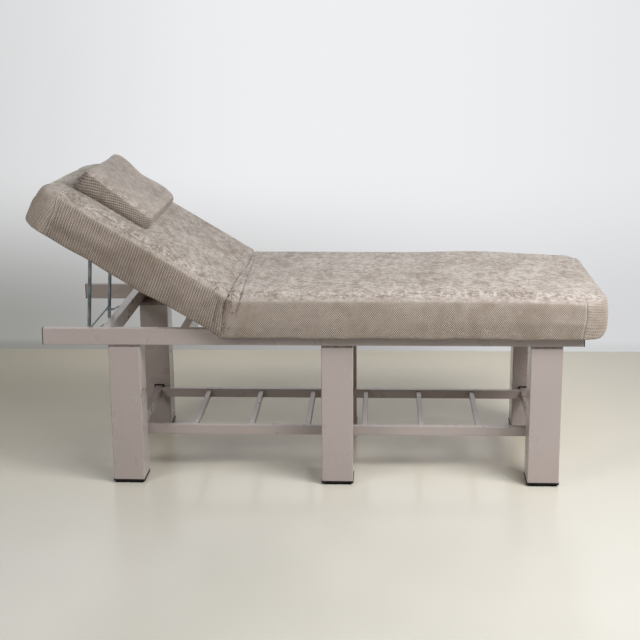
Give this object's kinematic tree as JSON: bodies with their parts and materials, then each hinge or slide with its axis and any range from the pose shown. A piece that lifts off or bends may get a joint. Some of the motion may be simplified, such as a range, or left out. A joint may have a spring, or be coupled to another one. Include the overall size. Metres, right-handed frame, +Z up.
{
  "type": "beauty bed",
  "caption": "Beauty and massage bed: steel box-leg frame with a ladder shelf, upholstered seat pad, raised backrest with a face hole on a rod prop, and a loose pillow.",
  "frame": {"origin": "centre of the footprint on the floor, under the middle of the whole bed", "axes": "+X towards the foot end, along the longest side; +Y towards the left side of someone lying on the bed; +Z up"},
  "size_m": [1.726, 0.704, 0.9356],
  "materials": {
    "frame_paint": "glossy taupe enamel",
    "dark_plate": "dark painted plate",
    "black_plastic": "black moulded plastic",
    "zinc_plate": "bluish zinc plating",
    "bright_steel": "bright zinc plating",
    "chenille": "crushed chenille",
    "foam": "open-cell foam",
    "plywood": "bare plywood"
  },
  "bodies": {
    "frame": {"side_rail_right": "frame_paint", "side_rail_left": "frame_paint", "head_crossbar": "frame_paint", "fold_crossbar": "frame_paint", "seat_crossbar_1": "frame_paint", "seat_crossbar_2": "frame_paint", "seat_crossbar_3": "frame_paint", "seat_crossbar_4": "frame_paint", "leg_head_right": "frame_paint", "leg_head_left": "frame_paint", "leg_middle_right": "frame_paint", "leg_middle_left": "frame_paint", "leg_foot_right": "frame_paint", "leg_foot_left": "frame_paint", "shelf_rail_right": "frame_paint", "shelf_rail_left": "frame_paint", "shelf_slat_1": "frame_paint", "shelf_slat_2": "frame_paint", "shelf_slat_3": "frame_paint", "shelf_slat_4": "frame_paint", "shelf_slat_5": "frame_paint", "shelf_slat_6": "frame_paint", "shelf_end_head": "frame_paint", "shelf_end_foot": "frame_paint", "leg_top_plates": "dark_plate", "foot_cap_head_right": "black_plastic", "foot_cap_head_left": "black_plastic", "foot_cap_middle_right": "black_plastic", "foot_cap_middle_left": "black_plastic", "foot_cap_foot_right": "black_plastic", "foot_cap_foot_left": "black_plastic", "rail_end_plugs": "black_plastic", "shelf_end_plugs": "black_plastic", "leg_bolts": "bright_steel", "leg_nuts": "bright_steel", "shelf_bolts": "bright_steel", "catch_bolts": "bright_steel", "board_screws": "bright_steel", "hinge_leaves_seat": "bright_steel", "hinge_pins": "bright_steel", "hinge_screws_seat": "bright_steel", "prop_catch_right": "zinc_plate", "prop_catch_left": "zinc_plate", "seat_cover": "chenille", "seat_foam": "foam", "seat_board": "plywood"},
    "backrest": {"backrest_board": "plywood", "backrest_foam": "foam", "backrest_cover": "chenille", "hinge_leaves_backrest": "bright_steel", "hinge_screws_backrest": "bright_steel", "prop_clamps": "bright_steel", "prop_clamp_screws": "bright_steel"},
    "prop": {"prop_rod": "zinc_plate", "prop_foot_bar": "zinc_plate"},
    "pillow": {"pillow_cover": "chenille", "pillow_filling": "foam"}
  },
  "joints": [
    {"name": "recline", "type": "hinge", "parent": "frame", "child": "backrest", "pos_m": [-0.27405, 0, 0.4873], "axis": [0, 1, 0], "range_deg": [-31.5, 0]},
    {"name": "prop_swing", "type": "hinge", "parent": "backrest", "child": "prop", "pos_m": [-0.70133, 0, 0.72592], "axis": [0, 1, 0], "range_deg": [0, 31.5]},
    {"name": "pillow_lift", "type": "slide", "parent": "backrest", "child": "pillow", "axis": [0.5225, 0, 0.8526], "range_m": [0, 0.3]}
  ],
  "couplings": [
    {"joint": "prop_swing", "follows": "recline", "ratio": -1}
  ]
}
